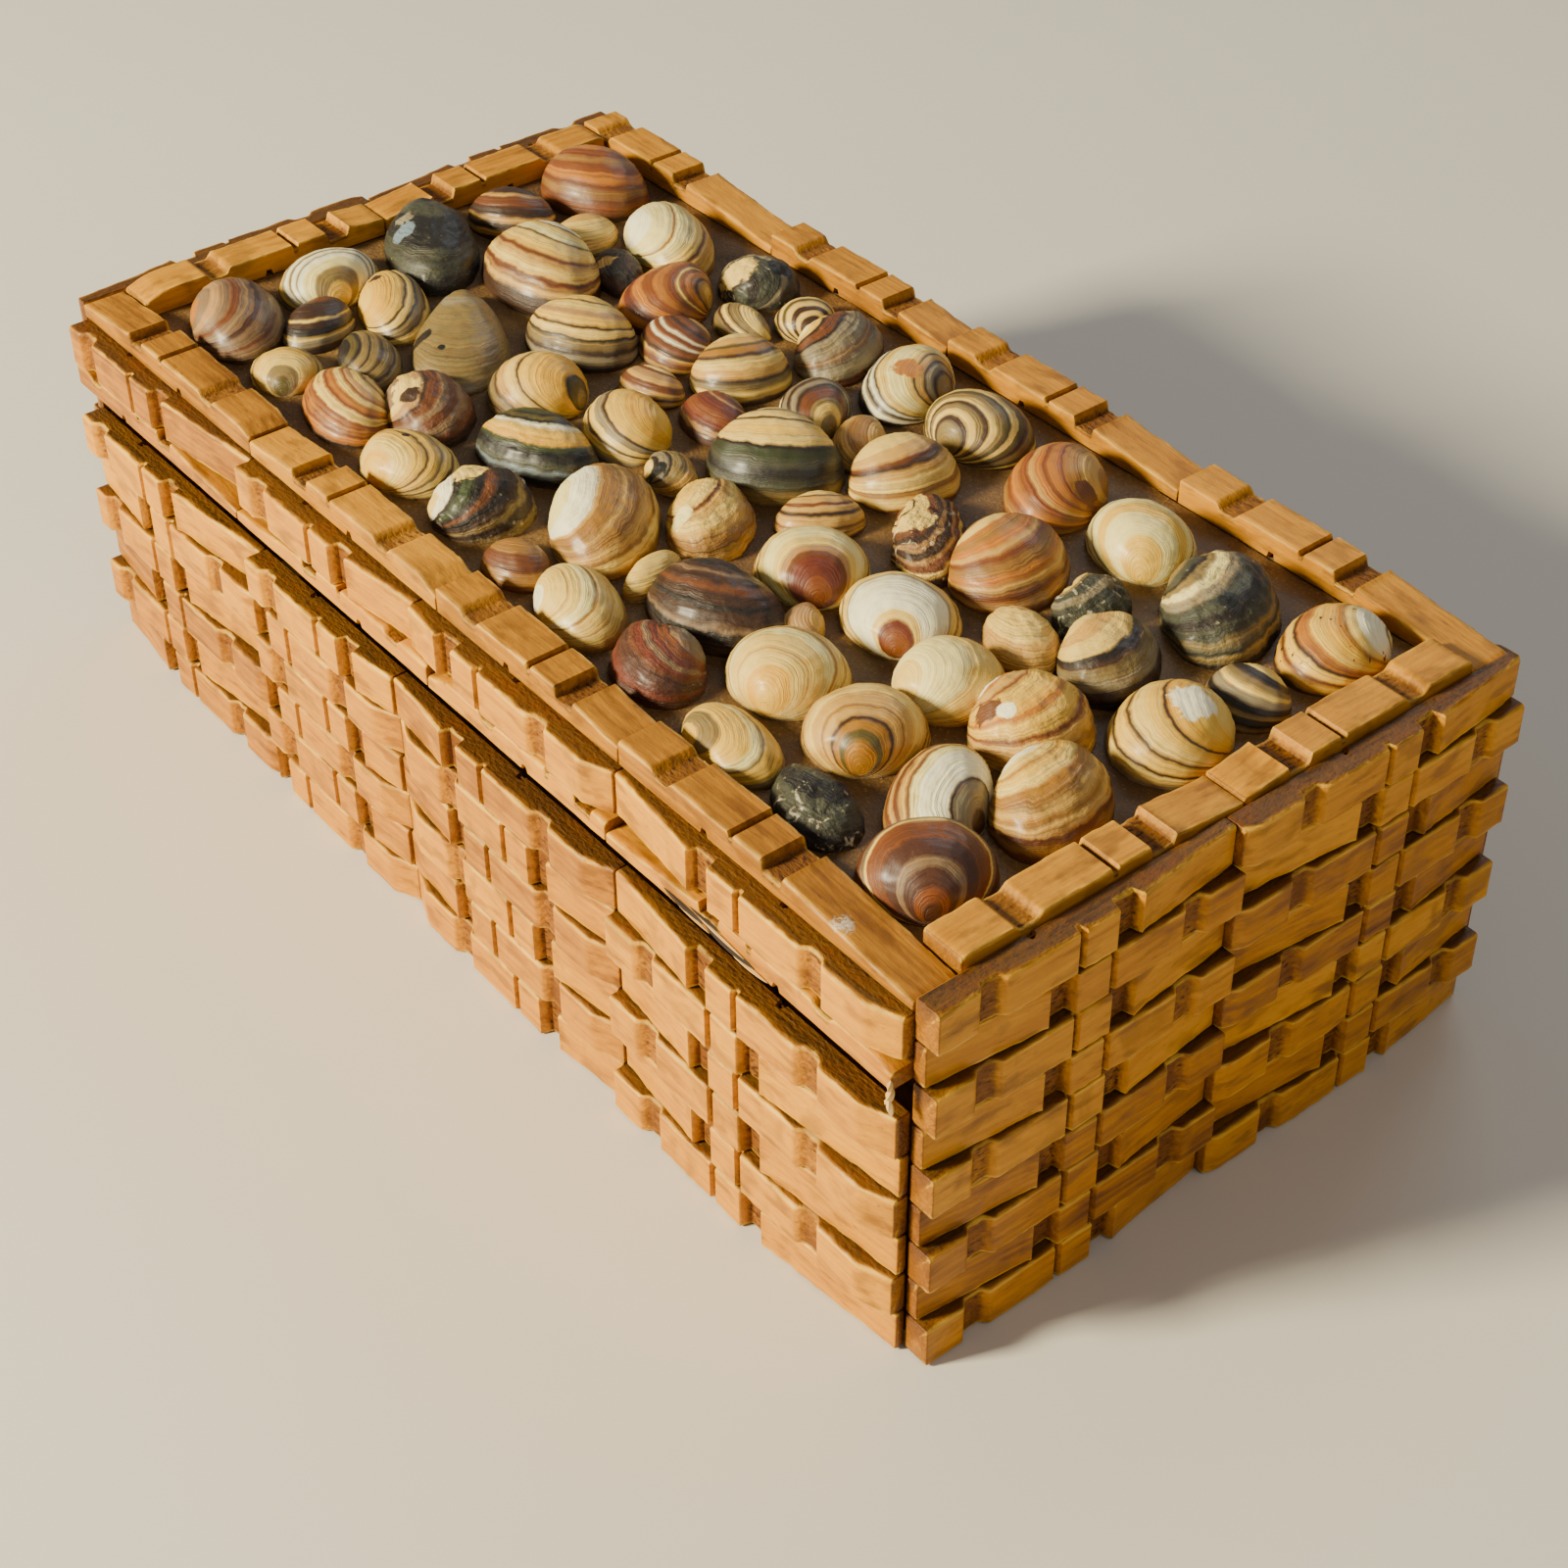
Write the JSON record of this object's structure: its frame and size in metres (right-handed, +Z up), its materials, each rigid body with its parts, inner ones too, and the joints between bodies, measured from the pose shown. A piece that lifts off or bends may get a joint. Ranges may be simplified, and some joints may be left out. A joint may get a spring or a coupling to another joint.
{
  "type": "shell box",
  "caption": "Lidded trinket box with walls and lid rim built of wooden clothes-peg halves, its lid covered with glued-on sea shells.",
  "frame": {"origin": "on the surface that the box stands on, under the middle of the box", "axes": "+X along the length of the box, +Y across it to one long side, +Z up through the lid"},
  "size_m": [0.3, 0.1596, 0.0961],
  "materials": {
    "honey_wood": "honey-coloured varnished softwood, satin, pale on worn edges",
    "rim_wood": "duller light brown wood, satin, dusty in the notches",
    "board_wood": "plain grey-brown board, matt",
    "sea_shell": "varnished bivalve shells, banded cream, tan, rust, olive and slate, semi-gloss"
  },
  "bodies": {
    "root": {"base_wall_back": "honey_wood", "base_wall_front": "honey_wood", "base_wall_left": "honey_wood", "base_wall_right": "honey_wood", "floor_board": "board_wood", "lid_end_left": "honey_wood", "lid_end_right": "honey_wood", "lid_panel": "board_wood", "lid_side_back": "honey_wood", "lid_side_front": "honey_wood", "rim_back_1": "rim_wood", "rim_back_2": "rim_wood", "rim_back_3": "rim_wood", "rim_back_4": "rim_wood", "rim_front_1": "rim_wood", "rim_front_2": "rim_wood", "rim_front_3": "rim_wood", "rim_front_4": "rim_wood", "rim_left_1": "rim_wood", "rim_left_2": "rim_wood", "rim_right_1": "rim_wood", "rim_right_2": "rim_wood", "shell_07_olive_fan": "sea_shell", "shell_08_amber": "sea_shell", "shell_15_red_orange": "sea_shell", "shell_42_white_red_beak": "sea_shell", "shell_45_cream_streaked": "sea_shell", "shell_55_dark_chevron": "sea_shell", "shell_59_purple_brown": "sea_shell", "shells_01_rust_12_umber_striped": "sea_shell", "shells_02_ivory_oval_14_umber_small": "sea_shell", "shells_03_slate_16_olive_cream": "sea_shell", "shells_04_olive_ringed_05_smoke": "sea_shell", "shells_06_grey_striped_19_grey_ringed": "sea_shell", "shells_09_cream_round_24_olive_grey": "sea_shell", "shells_10_black_green_11_orange_speckled": "sea_shell", "shells_13_cream_small_27_big_striped": "sea_shell", "shells_17_brown_white_30_brown_small": "sea_shell", "shells_18_yellow_banded_31_red_brown": "sea_shell", "shells_20_tan_smooth_21_cream_brown_band": "sea_shell", "shells_22_flaky_brown_23_orange_tan": "sea_shell", "shells_25_cream_grey_34_cream_bean": "sea_shell", "shells_26_black_yellow_35_yellow_ringed": "sea_shell", "shells_28_black_47_white_ringed": "sea_shell", "shells_29_white_dark_line_37_yellow_olive": "sea_shell", "shells_32_cream_green_33_brown_striped": "sea_shell", "shells_36_grey_wedge_48_yellow_lined": "sea_shell", "shells_38_yellow_smooth_39_broken": "sea_shell", "shells_40_cream_tawny_54_cream_sliver": "sea_shell", "shells_41_white_brown_beak_46_fragment": "sea_shell", "shells_43_cream_plain_44_orange_white": "sea_shell", "shells_49_dark_oval_50_olive_lined": "sea_shell", "shells_51_grey_white_patch_62_cream_ringed": "sea_shell", "shells_52_green_black_63_dark_cream": "sea_shell", "shells_53_big_cream_64_tan_small": "sea_shell", "shells_56_cream_pearl_67_yellow_flat": "sea_shell", "shells_57_gold_beak_68_charcoal": "sea_shell", "shells_58_brown_white_patch_69_plum": "sea_shell", "shells_60_yellow_cream_61_orange_striped": "sea_shell", "shells_65_cream_flat_66_rust_striped": "sea_shell"}
  },
  "joints": []
}
